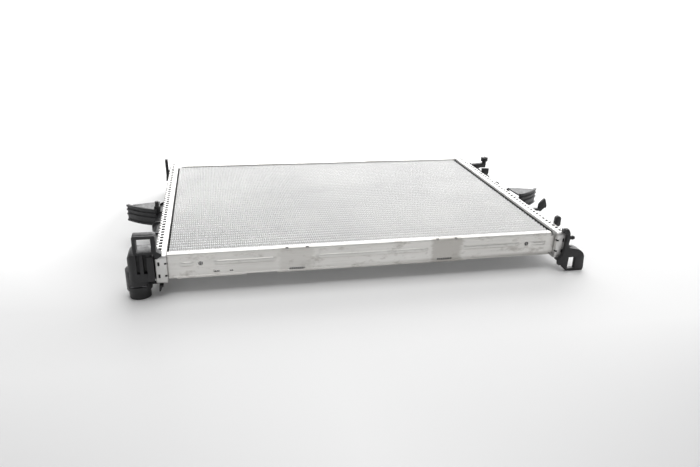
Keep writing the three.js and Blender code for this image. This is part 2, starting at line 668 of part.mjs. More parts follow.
// Clips onto the front right corner: a spine in front of the header with a prong over it, and a socket with
// a window, whose foot is level with the nozzles. A roof runs back from the socket's top.
function socketBracketSolid() {
  const front = [-BRACKET.face, -headerHalfLength - GAP];
  const outline = new THREE.Shape();
  outline.moveTo(4.3, -21);
  outline.lineTo(6, -31.5);
  outline.lineTo(13, -31.5);
  outline.lineTo(14, -36);
  outline.lineTo(21.5, -REST_HEIGHT);
  outline.lineTo(49.6, -REST_HEIGHT);
  outline.lineTo(51, -38);
  outline.lineTo(49.6, -18);
  outline.quadraticCurveTo(46, -6.5, 33, -4.5);
  outline.lineTo(22, -2);
  outline.lineTo(17.6, 2);
  outline.lineTo(18.6, 14);
  outline.quadraticCurveTo(18, 26, 13.5, 30.5);
  outline.lineTo(8.5, 30.5);
  outline.lineTo(8.5, 26);
  outline.lineTo(13.6, 20);
  outline.lineTo(13, 0);
  outline.lineTo(9.5, -17);
  const plate = prismY(outline, front, 5);
  const prong = box([8.5, 13.5], [-BRACKET.face, -226], [headerHalfHeight + GAP, 28]);
  const window = prismY(
    outlineOf([[22, -38], [35, -38], [34.5, -18], [22, -18.5]]),
    [-BRACKET.face - 1, -headerHalfLength],
  );
  const roofOutline = new THREE.Shape();
  roofOutline.moveTo(28.2, -6.1);
  roofOutline.lineTo(33, -7);
  roofOutline.quadraticCurveTo(44.4, -8.5, 47.2, -18);
  roofOutline.lineTo(49.6, -18);
  roofOutline.quadraticCurveTo(46, -6.5, 33, -4.5);
  roofOutline.lineTo(28.2, -3.4);
  const roof = prismY(roofOutline, [-headerHalfLength - 2, -BRACKET.back - 11], 5);
  const { lug, pocket } = tongueLug();
  return cut(join(plate, prong, roof, lug), window, pocket);
}

// Clips onto the back left corner, under the tank: a plate across the header's end, and a foot.
function footBracketSolid() {
  const outline = new THREE.Shape();
  outline.moveTo(4, -REST_HEIGHT + 2);
  outline.lineTo(6, -REST_HEIGHT);
  outline.lineTo(23, -REST_HEIGHT);
  outline.lineTo(23, -10);
  outline.quadraticCurveTo(22, -4, 16, -3);
  outline.lineTo(9, -3);
  outline.lineTo(4, -12);
  const plate = prismY(outline, [-BRACKET.face, -headerHalfLength - GAP], 4);
  const footAlong = [-headerHalfLength - 2, -BRACKET.back - 5];
  const hollowAlong = [-headerHalfLength + 1, -BRACKET.back];
  const foot = box([8, 23], footAlong, [-REST_HEIGHT, -headerHalfHeight - 3]);
  const hollow = box([11, 20], hollowAlong, [-REST_HEIGHT - 1, BRACKET.lugBottom]);
  const { lug, pocket } = tongueLug();
  return cut(join(plate, foot, lug), hollow, pocket);
}

// ---- side plates ----
// Local +Y points in towards the core, and the outer face of the web is at y = 0.
const PLATE_BEND = 3;
const BEAD = { level: 3, halfHeight: 3.4, proud: 1.3 };
const BEADS = [[-284, -263], [-236, -146], [-88, 88], [144, 240], [260, 286]];
const PLATE_HOLES = [{ x: -254.5, z: 3, radius: 3.3 }, { x: 252, z: 3, radius: 3.6 }];
const PLATE_SLOTS = [
  { x: [-128, -105], z: -14, halfHeight: 1.5 },
  { x: [103, 127], z: -14, halfHeight: 1.5 },
  { x: [-237, -228], z: -11, halfHeight: 1.2 },
  { x: [-214, -209], z: -11, halfHeight: 1.2 },
];
const LIP_NOTCHES = { places: [-131, -101, 101, 131], halfWidth: 2.2, depth: 2.4 };
const LOWER_STEPS = [{ x: [-190, -145], rise: 3 }, { x: [151, 300], rise: 2.5 }];

function plateChannel() {
  const half = PLATE_HEIGHT / 2;
  const outer = new THREE.Shape();
  outer.moveTo(PLATE_FLANGE, half);
  outer.lineTo(PLATE_BEND, half);
  outer.absarc(PLATE_BEND, half - PLATE_BEND, PLATE_BEND, Math.PI / 2, Math.PI);
  outer.absarc(PLATE_BEND, PLATE_BEND - half, PLATE_BEND, Math.PI, 1.5 * Math.PI);
  outer.lineTo(PLATE_FLANGE, -half);
  const inner = box(about(CORE_LENGTH), [PLATE_SHEET, PLATE_FLANGE + 1], about(half - PLATE_SHEET));
  return cut(prismX(outer, about(CORE_LENGTH / 2 - 2 * GAP)), inner);
}

function plateBead([x0, x1]) {
  const { level, halfHeight, proud } = BEAD;
  const profile = outlineOf([
    [0.5, level + halfHeight], [0, level + halfHeight],
    [-proud, level + halfHeight / 2], [-proud, level - halfHeight / 2],
    [0, level - halfHeight], [0.5, level - halfHeight],
  ]);
  return prismX(profile, [x0, x1]);
}

// Everything cut out of the plate: holes, slots, notches in its lips, and corners at its ends.
function plateCuts() {
  const half = PLATE_HEIGHT / 2;
  const through = [-1, PLATE_FLANGE + 1];
  const holes = PLATE_HOLES.map(({ x, z, radius }) => {
    const geometry = new THREE.CylinderGeometry(radius, radius, 2 * PLATE_FLANGE, 20);
    geometry.translate(x, 0, z);
    return solidFrom(geometry);
  });
  const slots = PLATE_SLOTS.map(({ x, z, halfHeight }) =>
    box(x, about(PLATE_BEND + 1), about(halfHeight, z)),
  );
  const notches = LIP_NOTCHES.places.map((x) =>
    box(about(LIP_NOTCHES.halfWidth, x), [-1, PLATE_BEND], [half - LIP_NOTCHES.depth, half + 1]),
  );
  const steps = LOWER_STEPS.map(({ x, rise }) => box(x, through, [-half - 1, rise - half]));
  const end = CORE_LENGTH / 2;
  const tongue = [end - PLATE_TONGUE.length, end];
  const ends = [
    box(tongue, through, [PLATE_TONGUE.halfHeight, half + 1]),
    box(tongue, through, [-half - 1, -PLATE_TONGUE.halfHeight]),
    box([-end, PLATE_CORNER.length - end], through, [-half - 1, PLATE_CORNER.rise - half]),
  ];
  return [...holes, ...slots, ...notches, ...steps, ...ends];
}

function sidePlateSolid() {
  return cut(join(plateChannel(), BEADS.map(plateBead)), plateCuts());
}

// ---- assembly ----
// One end of the radiator in its own frame. The two ends are the same but for half a turn about Z.
function endGroup(side, portName, port, tankSolid) {
  const group = new THREE.Group();
  const fittings = new THREE.Group();
  fittings.position.set(port.out, port.along, -port.drop);
  const clip = piece(`${portName}_wire_clip`, wireClipSolid(), springSteel);
  clip.position.z = CLIP.level;
  fittings.add(
    clip,
    piece(`${portName}_seal_ring`, sealRingSolid(), sealRubber),
    piece(`${portName}_backing_ring`, backingRingSolid(), ringPlastic),
  );
  group.add(
    piece(`header_${side}`, headerSolid(), headerAluminium),
    piece(`tank_gasket_${side}`, gasketSolid(), sealRubber),
    piece(`tank_${side}`, tankSolid, tankPlastic),
    fittings,
  );
  return group;
}

function leftEnd() {
  const group = endGroup("left", "inlet", INLET, leftTankSolid());
  const drain = new THREE.Group();
  drain.position.set(DRAIN.out, DRAIN.along, 0);
  drain.add(
    piece("drain_plug", drainPlugSolid(), drainPlastic),
    piece("drain_plug_seal", ring(DRAIN_PLUG.stem + 1.4, 1, DRAIN.bossBottom - 1 - GAP), sealRubber),
  );
  group.add(
    drain,
    piece("loop_bracket_front_left", loopBracketSolid(), bracketPlastic),
    piece("foot_bracket_back_left", footBracketSolid(), bracketPlastic),
  );
  group.position.x = -CORE_LENGTH / 2;
  group.rotation.z = Math.PI;
  return group;
}

function rightEnd() {
  const group = endGroup("right", "outlet", OUTLET, rightTankSolid());
  group.add(piece("socket_bracket_front_right", socketBracketSolid(), bracketPlastic));
  group.position.x = CORE_LENGTH / 2;
  return group;
}

function sidePlate(name, facing) {
  const plate = piece(name, sidePlateSolid(), plateAluminium);
  plate.position.y = facing * PLATE_FACE;
  plate.rotation.z = facing > 0 ? Math.PI : 0;
  return plate;
}

const assembly = new THREE.Group();
assembly.position.z = REST_HEIGHT;
assembly.add(
  piece("core", coreSolid(), finAluminium),
  sidePlate("side_plate_front", -1),
  sidePlate("side_plate_back", 1),
  leftEnd(),
  rightEnd(),
);

const radiator = new THREE.Group();
radiator.add(assembly);

export default radiator;
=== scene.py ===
"""Car radiator lying flat on a pale studio floor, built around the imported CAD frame.

Blender units are metres, in the frame's axes: +X from the left tank to the right one, +Y from the near side
plate to the far one, +Z up from the floor. Pieces are shaped in millimetres, and the three frames below (the
core's, an end's and a side plate's) turn them into metres when a piece is placed. Materials work in metres,
in the frame, because every piece's object sits at the origin.
"""

import math

import bmesh
import bpy
import numpy as np
from mathutils import Matrix, Vector


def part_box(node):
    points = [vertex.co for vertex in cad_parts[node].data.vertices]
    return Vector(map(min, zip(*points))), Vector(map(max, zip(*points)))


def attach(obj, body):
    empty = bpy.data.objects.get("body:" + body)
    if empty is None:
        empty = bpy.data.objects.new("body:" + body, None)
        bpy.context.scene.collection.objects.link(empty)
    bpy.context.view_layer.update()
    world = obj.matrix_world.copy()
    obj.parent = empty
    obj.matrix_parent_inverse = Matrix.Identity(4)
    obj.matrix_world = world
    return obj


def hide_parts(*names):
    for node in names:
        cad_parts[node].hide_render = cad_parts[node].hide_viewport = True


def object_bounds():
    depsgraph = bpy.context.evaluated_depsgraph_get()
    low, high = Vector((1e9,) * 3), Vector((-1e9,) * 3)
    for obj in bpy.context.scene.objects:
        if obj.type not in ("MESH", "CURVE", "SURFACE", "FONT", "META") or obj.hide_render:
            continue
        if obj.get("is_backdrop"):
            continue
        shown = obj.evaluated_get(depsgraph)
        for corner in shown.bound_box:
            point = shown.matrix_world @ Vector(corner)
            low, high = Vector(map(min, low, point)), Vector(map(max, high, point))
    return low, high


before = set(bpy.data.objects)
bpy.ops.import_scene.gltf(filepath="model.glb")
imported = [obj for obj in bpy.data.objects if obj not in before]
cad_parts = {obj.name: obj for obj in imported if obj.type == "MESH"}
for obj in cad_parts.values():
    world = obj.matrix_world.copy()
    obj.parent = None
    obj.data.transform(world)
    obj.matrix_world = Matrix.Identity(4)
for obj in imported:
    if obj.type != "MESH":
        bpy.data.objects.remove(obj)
CAD_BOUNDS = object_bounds()

MM = 0.001
ROOT_BODY = "radiator"

CORE_LOW, CORE_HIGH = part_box("core")
HEADER_LOW, HEADER_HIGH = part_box("header_right")
PLATE_LOW, PLATE_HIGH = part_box("side_plate_front")
MIDDLE = (CORE_LOW.z + CORE_HIGH.z) / 2
PLATE_FLANGE = 9.0
PLATE_WEB = PLATE_FLANGE - PLATE_HIGH.y / MM


# ---------------------------------------------------------------- mesh helpers


def in_core_frame():
    """Millimetres about the core's middle, to metres in the frame."""
    return Matrix.Translation((0, 0, MIDDLE)) @ Matrix.Scale(MM, 4)


def in_end_frame(side):
    """Millimetres in an end's own frame (+X outward from the header's base, +Y along it), to the frame."""
    place = Matrix.Translation((HEADER_LOW.x, 0, MIDDLE)) @ Matrix.Scale(MM, 4)
    return place if side == "right" else Matrix.Rotation(math.pi, 4, "Z") @ place


def in_plate_frame(side):
    """Millimetres from the middle of a side plate's outer face (+Y in towards the core), to the frame."""
    place = Matrix.Translation((0, -PLATE_WEB * MM, MIDDLE)) @ Matrix.Scale(MM, 4)
    return place if side == "front" else Matrix.Rotation(math.pi, 4, "Z") @ place


def object_from(bm, name):
    mesh = bpy.data.meshes.new(name)
    bm.to_mesh(mesh)
    bm.free()
    made = bpy.data.objects.new(name, mesh)
    bpy.context.scene.collection.objects.link(made)
    return made


def object_from_arrays(name, vertices, faces):
    mesh = bpy.data.meshes.new(name)
    mesh.from_pydata([tuple(v) for v in vertices], [], [tuple(f) for f in faces])
    mesh.validate()
    made = bpy.data.objects.new(name, mesh)
    bpy.context.scene.collection.objects.link(made)
    return made


def transform(piece, matrix):
    piece.data.transform(matrix)
    if matrix.determinant() < 0:
        piece.data.flip_normals()


def apply_modifiers(piece):
    """Bakes the piece's modifiers into its mesh."""
    graph = bpy.context.evaluated_depsgraph_get()
    baked = bpy.data.meshes.new_from_object(piece.evaluated_get(graph))
    piece.modifiers.clear()
    old = piece.data
    piece.data = baked
    bpy.data.meshes.remove(old)


def smooth_by_angle(piece, degrees=35):
    piece.data.shade_smooth()
    piece.data.set_sharp_from_angle(angle=math.radians(degrees))


def bevel(piece, width, degrees=35):
    """Rounds the edges that turn by more than an angle."""
    modifier = piece.modifiers.new("bevel", "BEVEL")
    modifier.width = width
    modifier.segments = 2
    modifier.limit_method = "ANGLE"
    modifier.angle_limit = math.radians(degrees)
    modifier.use_clamp_overlap = True
    modifier.miter_outer = "MITER_ARC"
    apply_modifiers(piece)


def difference(piece, cutter):
    """Cuts the cutter's shape out of the piece, and removes the cutter."""
    modifier = piece.modifiers.new("cut", "BOOLEAN")
    modifier.operation = "DIFFERENCE"
    modifier.solver = "EXACT"
    modifier.object = cutter
    apply_modifiers(piece)
    bpy.data.objects.remove(cutter)


def block(name, x, y, z, round_by=0.0):
    """A box from its extents, with its edges rounded."""
    bm = bmesh.new()
    bmesh.ops.create_cube(bm, size=1.0)
    for vertex in bm.verts:
        for axis, (low, high) in enumerate((x, y, z)):
            vertex.co[axis] = low if vertex.co[axis] < 0 else high
    if round_by:
        bmesh.ops.bevel(bm, geom=bm.edges[:], offset=round_by, segments=3, profile=0.5, affect="EDGES")
    return object_from(bm, name)


def rod(name, radius, start, end):
    """A cylinder between two points, used as a cutter."""
    bm = bmesh.new()
    axis = Vector(end) - Vector(start)
    turn = axis.to_track_quat("Z", "Y").to_matrix().to_4x4()
    place = Matrix.Translation((Vector(start) + Vector(end)) / 2) @ turn
    bmesh.ops.create_cone(
        bm, cap_ends=True, segments=48, radius1=radius, radius2=radius, depth=axis.length, matrix=place
    )
    return object_from(bm, name)


def finish_piece(piece, material, replaces=None):
    """Gives a piece its material and slot, and lets it ride on the radiator in place of a CAD node."""
    piece.data.materials.clear()
    piece.data.materials.append(material)
    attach(piece, ROOT_BODY)
    if replaces:
        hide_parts(replaces)


# ---------------------------------------------------------------- material helpers


class Nodes:
    """A small builder for one procedural material."""

    def __init__(self, name):
        self.material = bpy.data.materials.new(name)
        self.material.use_nodes = True
        self.tree = self.material.node_tree
        self.shader = self.tree.nodes["Principled BSDF"]
        self.coordinates = self.tree.nodes.new("ShaderNodeTexCoord").outputs["Object"]

    def link(self, output, target):
        self.tree.links.new(output, target)

    def scaled(self, factors):
        mapping = self.tree.nodes.new("ShaderNodeMapping")
        mapping.inputs["Scale"].default_value = factors
        self.link(self.coordinates, mapping.inputs["Vector"])
        return mapping.outputs["Vector"]

    def noise(self, scale, detail=4.0, roughness=0.55, stretch=(1, 1, 1)):
        node = self.tree.nodes.new("ShaderNodeTexNoise")
        node.inputs["Scale"].default_value = scale
        node.inputs["Detail"].default_value = detail
        node.inputs["Roughness"].default_value = roughness
        self.link(self.scaled(stretch), node.inputs["Vector"])
        return node.outputs["Fac"]

    def axis(self, name):
        """One coordinate of the place on the piece, in metres of the frame."""
        node = self.tree.nodes.new("ShaderNodeSeparateXYZ")
        self.link(self.coordinates, node.inputs["Vector"])
        return node.outputs[name]

    def away(self, name, centre):
        """The distance from a plane across one axis."""
        return self.absolute(self.math("SUBTRACT", self.axis(name), centre))

    def distance(self):
        """The distance from the frame's origin."""
        node = self.tree.nodes.new("ShaderNodeVectorMath")
        node.operation = "LENGTH"
        self.link(self.coordinates, node.inputs[0])
        return node.outputs["Value"]

    def span(self, value, low, high, start=0.0, end=1.0):
        """Maps value from low..high onto start..end, clamped."""
        node = self.tree.nodes.new("ShaderNodeMapRange")
        for key, number in (("From Min", low), ("From Max", high), ("To Min", start), ("To Max", end)):
            node.inputs[key].default_value = number
        self.link(value, node.inputs["Value"])
        return node.outputs["Result"]

    def absolute(self, value):
        return self.math("ABSOLUTE", value, 0.0)

    def product(self, first, *others):
        for other in others:
            first = self.math("MULTIPLY", first, other)
        return first

    def math(self, operation, first, second):
        node = self.tree.nodes.new("ShaderNodeMath")
        node.operation = operation
        for place, value in enumerate((first, second)):
            if isinstance(value, (int, float)):
                node.inputs[place].default_value = value
            else:
                self.link(value, node.inputs[place])
        return node.outputs["Value"]

    def mix(self, factor, first, second):
        """A colour between first and second; either may be a colour or an output."""
        node = self.tree.nodes.new("ShaderNodeMix")
        node.data_type = "RGBA"
        self.link(factor, node.inputs["Factor"])
        for key, value in (("A", first), ("B", second)):
            socket = next(s for s in node.inputs if s.name == key and s.type == "RGBA")
            if isinstance(value, tuple):
                socket.default_value = (*value, 1.0)
            else:
                self.link(value, socket)
        return next(s for s in node.outputs if s.type == "RGBA")

    def edge_wear(self, width):
        """1 on edges that a bevelled normal turns, 0 on flats."""
        rounded = self.tree.nodes.new("ShaderNodeBevel")
        rounded.samples = 4
        rounded.inputs["Radius"].default_value = width
        geometry = self.tree.nodes.new("ShaderNodeNewGeometry")
        dot = self.tree.nodes.new("ShaderNodeVectorMath")
        dot.operation = "DOT_PRODUCT"
        self.link(rounded.outputs["Normal"], dot.inputs[0])
        self.link(geometry.outputs["Normal"], dot.inputs[1])
        return self.span(dot.outputs["Value"], 0.98, 0.80)

    def bump(self, height, strength, distance, under=None):
        node = self.tree.nodes.new("ShaderNodeBump")
        node.inputs["Strength"].default_value = strength
        node.inputs["Distance"].default_value = distance
        self.link(height, node.inputs["Height"])
        if under is not None:
            self.link(under, node.inputs["Normal"])
        return node.outputs["Normal"]

    def set(self, **values):
        """Fills the shader's inputs, named with _ for a space, and gives the finished material."""
        for key, value in values.items():
            socket = self.shader.inputs[key.replace("_", " ")]
            if isinstance(value, tuple):
                socket.default_value = (*value, 1.0)
            elif isinstance(value, (int, float)):
                socket.default_value = value
            else:
                self.link(value, socket)
        return self.material


WHITE = (1.0, 1.0, 1.0, 1.0)
FIN_END_GAP = 2.6
FIN_END = HEADER_LOW.x - FIN_END_GAP * MM


def fin_aluminium():
    """Matt fins with a painted glow that grows towards the far side, standing in for the bright background
    they reflect, and painted dark as shade close behind the side plates.
    """
    n = Nodes("fin_aluminium")
    cloud = n.noise(9.0, 5.0)
    streak = n.noise(60.0, 3.0, stretch=(0.15, 1, 1))
    colour = n.mix(n.span(cloud, 0.35, 0.7), (0.86, 0.86, 0.86), (0.94, 0.94, 0.935))
    colour = n.mix(n.span(streak, 0.45, 0.75, 0.0, 0.5), colour, (0.97, 0.97, 0.96))
    # painted shade: the fins go near black close behind the side plates
    colour = n.mix(plate_shade(n), colour, (0.03, 0.03, 0.03))
    n.shader.inputs["Emission Color"].default_value = WHITE
    return n.set(
        Base_Color=colour,
        Metallic=0.25,
        Roughness=n.span(cloud, 0.3, 0.7, 0.42, 0.6),
        Normal=n.bump(n.noise(2500.0, 2.0), 0.25, 0.0001),
        # painted light: the fins glow, more towards the far side, in place of the backlight's reflection
        Emission_Strength=n.span(n.axis("Y"), -0.2, 0.2, 0.05, 0.10),
    )


def plate_shade(n):
    """1 close behind a side plate, where the core is seen only through the plate's holes; the fins are
    painted dark there as the plate's shade.
    """
    along = n.span(n.away("X", 0.0), HEADER_LOW.x - 0.008, HEADER_LOW.x - 0.010)
    across = n.span(n.away("Y", 0.0), CORE_HIGH.y - 0.0026, CORE_HIGH.y - 0.0020)
    return n.product(across, along)


def joint_shade(n):
    """1 in the narrow gap between the last fins and the header, 0 along the core; the tubes are painted dark
    there as the gap's shade.
    """
    return n.span(n.away("X", 0.0), FIN_END + 0.0002, FIN_END + 0.0006)


def tube_aluminium():
    n = Nodes("tube_aluminium")
    streak = n.noise(40.0, 4.0, stretch=(0.05, 1, 1))
    colour = n.mix(n.span(streak, 0.35, 0.7), (0.84, 0.84, 0.84), (0.93, 0.93, 0.92))
    # painted shade: the tubes go dark in the gap beside the header
    colour = n.mix(joint_shade(n), colour, (0.06, 0.06, 0.06))
    return n.set(
        Base_Color=colour,
        Metallic=0.3,
        Roughness=n.span(streak, 0.3, 0.7, 0.35, 0.55),
        Normal=n.bump(n.noise(900.0, 3.0), 0.2, 0.0002),
    )


def header_base_painted_shade(n):
    """1 on the tray's base between the side plates, which is seen only down the gap beside the last fins;
    the base is painted dark there as shade in that gap.
    """
    near_base = n.span(n.away("X", 0.0), HEADER_LOW.x + 0.0008, HEADER_LOW.x + 0.0003)
    below_rim = n.span(n.axis("Z"), HEADER_HIGH.z - 0.0038, HEADER_HIGH.z - 0.0050)
    between_plates = n.span(n.away("Y", 0.0), 0.0010 - PLATE_HIGH.y, -PLATE_HIGH.y)
    return n.product(near_base, below_rim, between_plates)


def header_aluminium():
    """Satin sheet with dents, dulled in spots by brazing flux, and painted dark as shade on the base seen
    down the gap beside the last fins.
    """
    n = Nodes("header_aluminium")
    cloud = n.noise(22.0, 6.0)
    flux = n.noise(150.0, 5.0, 0.7)
    colour = n.mix(n.span(cloud, 0.35, 0.7), (0.62, 0.615, 0.60), (0.78, 0.775, 0.765))
    colour = n.mix(n.span(flux, 0.56, 0.72, 0.0, 0.45), colour, (0.62, 0.60, 0.57))
    # painted shade: the tray's base goes near black where it is seen down the gap
    colour = n.mix(header_base_painted_shade(n), colour, (0.05, 0.05, 0.05))
    dents = n.bump(cloud, 0.25, 0.0015)
    return n.set(
        Base_Color=colour,
        Metallic=0.8,
        Roughness=n.span(flux, 0.35, 0.75, 0.32, 0.55),
        Normal=n.bump(n.noise(1200.0, 3.0), 0.18, 0.0002, dents),
    )


PATCH_PLACE = 0.117
PATCH_EDGE = (0.027, 0.021)


def brazed_patch(n, stain):
    """Dull patches on both halves of a plate, with ragged edges and stronger on the right half."""
    from_patch = n.absolute(n.math("SUBTRACT", n.away("X", 0.0), PATCH_PLACE))
    ragged = n.math("ADD", from_patch, n.span(stain, 0.3, 0.7, -0.006, 0.006))
    return n.product(n.span(ragged, *PATCH_EDGE), n.span(n.axis("X"), -0.1, 0.1, 0.25, 0.55))


def plate_aluminium():
    """Rolled sheet: brushed along its length, cloudy, stained, painted darker low down as shade, dull where
    it was spot brazed.
    """
    n = Nodes("plate_aluminium")
    brushed = n.noise(220.0, 3.0, stretch=(0.03, 1, 1))
    cloud = n.noise(14.0, 6.0, stretch=(0.6, 1, 1.6))
    stain = n.noise(75.0, 6.0, 0.7, stretch=(0.5, 1, 1))
    colour = n.mix(n.span(brushed, 0.3, 0.7), (0.68, 0.67, 0.645), (0.80, 0.79, 0.765))
    colour = n.mix(n.span(cloud, 0.4, 0.7, 0.0, 0.6), colour, (0.88, 0.87, 0.845))
    colour = n.mix(n.span(stain, 0.54, 0.70, 0.0, 0.7), colour, (0.40, 0.38, 0.35))
    patch = brazed_patch(n, stain)
    colour = n.mix(patch, colour, (0.42, 0.40, 0.37))
    # painted shade: the plate darkens towards its lower edge, more so to the right
    low_band = n.span(n.axis("Z"), PLATE_LOW.z + 0.0095, PLATE_LOW.z + 0.0045)
    to_the_right = n.span(n.axis("X"), -0.1, 0.25, 0.1, 0.7)
    low_painted_shade = n.product(low_band, to_the_right, n.span(cloud, 0.3, 0.6, 0.5, 1.0))
    colour = n.mix(low_painted_shade, colour, (0.30, 0.285, 0.265))
    waves = n.bump(cloud, 0.3, 0.001)
    dullness = n.math("ADD", brushed, n.product(patch, 0.3))
    return n.set(
        Base_Color=colour,
        Metallic=0.8,
        Roughness=n.span(dullness, 0.3, 1.0, 0.34, 0.66),
        Normal=n.bump(brushed, 0.12, 0.0002, waves),
    )


def moulded_plastic(name, dark, light, roughness=0.4):
    """Glass-filled plastic: clouded, grained, streaked by its flow and scuffed on its edges."""
    n = Nodes(name)
    cloud = n.noise(35.0, 4.0)
    flow = n.noise(240.0, 5.0, 0.65, stretch=(1, 0.35, 1))
    scuff = n.product(n.edge_wear(0.0007), n.span(n.noise(160.0), 0.45, 0.65), 0.35)
    colour = n.mix(n.span(cloud, 0.35, 0.7), dark, light)
    colour = n.mix(scuff, colour, (0.10, 0.10, 0.11))
    grain = n.bump(n.noise(1600.0, 2.0), 0.3, 0.00025)
    return n.set(
        Base_Color=colour,
        Roughness=n.span(flow, 0.3, 0.7, roughness - 0.08, roughness + 0.12),
        Normal=n.bump(flow, 0.08, 0.0003, grain),
    )


def seal_rubber():
    n = Nodes("seal_rubber")
    dust = n.noise(130.0, 5.0, 0.7)
    colour = n.mix(n.span(dust, 0.5, 0.75, 0.0, 0.6), (0.012, 0.012, 0.012), (0.06, 0.058, 0.055))
    return n.set(
        Base_Color=colour,
        Roughness=n.span(dust, 0.3, 0.7, 0.6, 0.85),
        Normal=n.bump(n.noise(1400.0, 3.0), 0.35, 0.0002),
    )


def ring_plastic():
    n = Nodes("ring_plastic")
    cloud = n.noise(60.0, 4.0)
    colour = n.mix(n.span(cloud, 0.3, 0.7), (0.62, 0.56, 0.44), (0.76, 0.71, 0.60))
    return n.set(
        Base_Color=colour,
        Roughness=n.span(cloud, 0.3, 0.7, 0.35, 0.5),
        Normal=n.bump(n.noise(900.0, 2.0), 0.15, 0.0002),
    )


def spring_steel():
    n = Nodes("spring_steel")
    drawn = n.noise(600.0, 4.0, stretch=(1, 0.1, 1))
    colour = n.mix(n.span(drawn, 0.3, 0.7), (0.10, 0.10, 0.105), (0.22, 0.22, 0.23))
    return n.set(
        Base_Color=colour,
        Metallic=1.0,
        Roughness=n.span(drawn, 0.3, 0.7, 0.22, 0.4),
        Normal=n.bump(drawn, 0.15, 0.0001),
    )


# ---------------------------------------------------------------- core: tubes and fins

CORE_HALF_WIDTH = CORE_HIGH.y / MM
CORE_HALF_DEPTH = (CORE_HIGH.z - CORE_LOW.z) / 2 / MM
TUBE_COUNT = 46
TUBE_THICKNESS = 2.0
TUBE_DEPTH = 33.0
NOSE_STEPS = 8
TUBE_PITCH = (2 * CORE_HALF_WIDTH + TUBE_THICKNESS) / (TUBE_COUNT + 1)
TUBE_ROWS = [(i - (TUBE_COUNT - 1) / 2) * TUBE_PITCH for i in range(TUBE_COUNT)]
FIN_LEG = 1.5
FIN_SHEET = 0.16
FIN_CREST = 0.34
FIN_LEAN = 0.12
FIN_TOP_WEAR = 0.2
FIN_SEED = 7


def core_tubes():
    """Flat tubes with round noses, one closed shell each."""
    half_length = CORE_HIGH.x / MM
    radius = TUBE_THICKNESS / 2
    arc = [math.pi * i / NOSE_STEPS for i in range(NOSE_STEPS + 1)]
    outline = [(radius * math.cos(a), TUBE_DEPTH / 2 - radius + radius * math.sin(a)) for a in arc]
    outline += [(-y, -z) for y, z in outline]
    count = len(outline)
    vertices = []
    faces = []
    for row in TUBE_ROWS:
        start = len(vertices)
        for x in (-half_length, half_length):
            vertices += [(x, row + y, z) for y, z in outline]
        for i in range(count):
            j = (i + 1) % count
            faces.append((start + i, start + j, start + count + j, start + count + i))
        faces.append(tuple(start + i for i in reversed(range(count))))
        faces.append(tuple(start + count + i for i in range(count)))
    tubes = object_from_arrays("core_tubes", vertices, faces)
    transform(tubes, in_core_frame())
    smooth_by_angle(tubes)
    return tubes


def fin_wave(length, height, random):
    """The path of one corrugated strip in (x, y), and its sheet's offset on each side."""
    legs = int(length // FIN_LEG)
    step = length / legs
    xs = []
    ys = []
    for i in range(legs):
        x = -length / 2 + i * step + random.uniform(-FIN_LEAN, FIN_LEAN)
        y = height / 2 if i % 2 else -height / 2
        xs += [x, x + FIN_CREST * step]
        ys += [y, y]
    path = np.array([xs, ys], float).T
    ahead = np.gradient(path, axis=0)
    ahead /= np.linalg.norm(ahead, axis=1)[:, None]
    normal = np.stack([-ahead[:, 1], ahead[:, 0]], axis=1)
    return path, normal * FIN_SHEET / 2


def core_fins():
    """Corrugated strips between the tubes, each a closed thin sheet standing through the core's depth."""
    random = np.random.default_rng(FIN_SEED)
    half_length = HEADER_LOW.x / MM - FIN_END_GAP
    edges = [-CORE_HALF_WIDTH - TUBE_THICKNESS / 2] + TUBE_ROWS + [CORE_HALF_WIDTH + TUBE_THICKNESS / 2]
    vertices = []
    faces = []
    total = 0
    for low, high in zip(edges, edges[1:]):
        height = high - low - TUBE_THICKNESS
        path, offset = fin_wave(2 * half_length, height - FIN_SHEET, random)
        path = path + (0, (low + high) / 2)
        count = len(path)
        tops = CORE_HALF_DEPTH - random.uniform(0.0, FIN_TOP_WEAR, count)
        for side, level in ((1, tops), (-1, tops), (-1, -tops), (1, -tops)):
            vertices.append(np.column_stack([path + side * offset, level]))
        corner = total + np.arange(count - 1)
        for ring in range(4):
            a = corner + ring * count
            b = corner + (ring + 1) % 4 * count
            faces.append(np.column_stack([a, a + 1, b + 1, b]))
        ends = total + np.arange(4) * count
        faces.append(ends[None, :])
        faces.append(ends[None, ::-1] + count - 1)
        total += 4 * count
    fins = object_from_arrays("core_fins", np.concatenate(vertices), np.concatenate(faces))
    transform(fins, in_core_frame())
    return fins


# ---------------------------------------------------------------- headers

HEADER_DEPTH = (HEADER_HIGH.x - HEADER_LOW.x) / MM
HEADER_HALF_HEIGHT = (HEADER_HIGH.z - HEADER_LOW.z) / 2 / MM
HEADER_HALF_LENGTH = HEADER_HIGH.y / MM
HEADER_SHEET = 0.8
HEADER_CORNER = 6.0
HEADER_BASE_INSET = 7.5
HEADER_BEND = 1.6
LIP_REACH = 4.5
LIP_DROP = 0.7
CRIMP_PITCH = 10.7
CRIMP_COUNT = 42
CRIMP_PLACES = [(i - (CRIMP_COUNT - 1) / 2) * CRIMP_PITCH for i in range(CRIMP_COUNT)]
WINDOW_HALF = 3.4
WINDOW_OUT = (6.9, 11.7)
TAB_GAP_HALF = 1.8
TAB_ROOT = 12.6
END_WINDOW_LEVELS = (-9.3, 9.3)
END_WINDOW_HALF = 3.0
END_WINDOW_OUT = (9.5, 12.5)
RELIEF_HALF = 1.5
RELIEF_REACH = 3.5
RELIEF_INWARD = 5.5


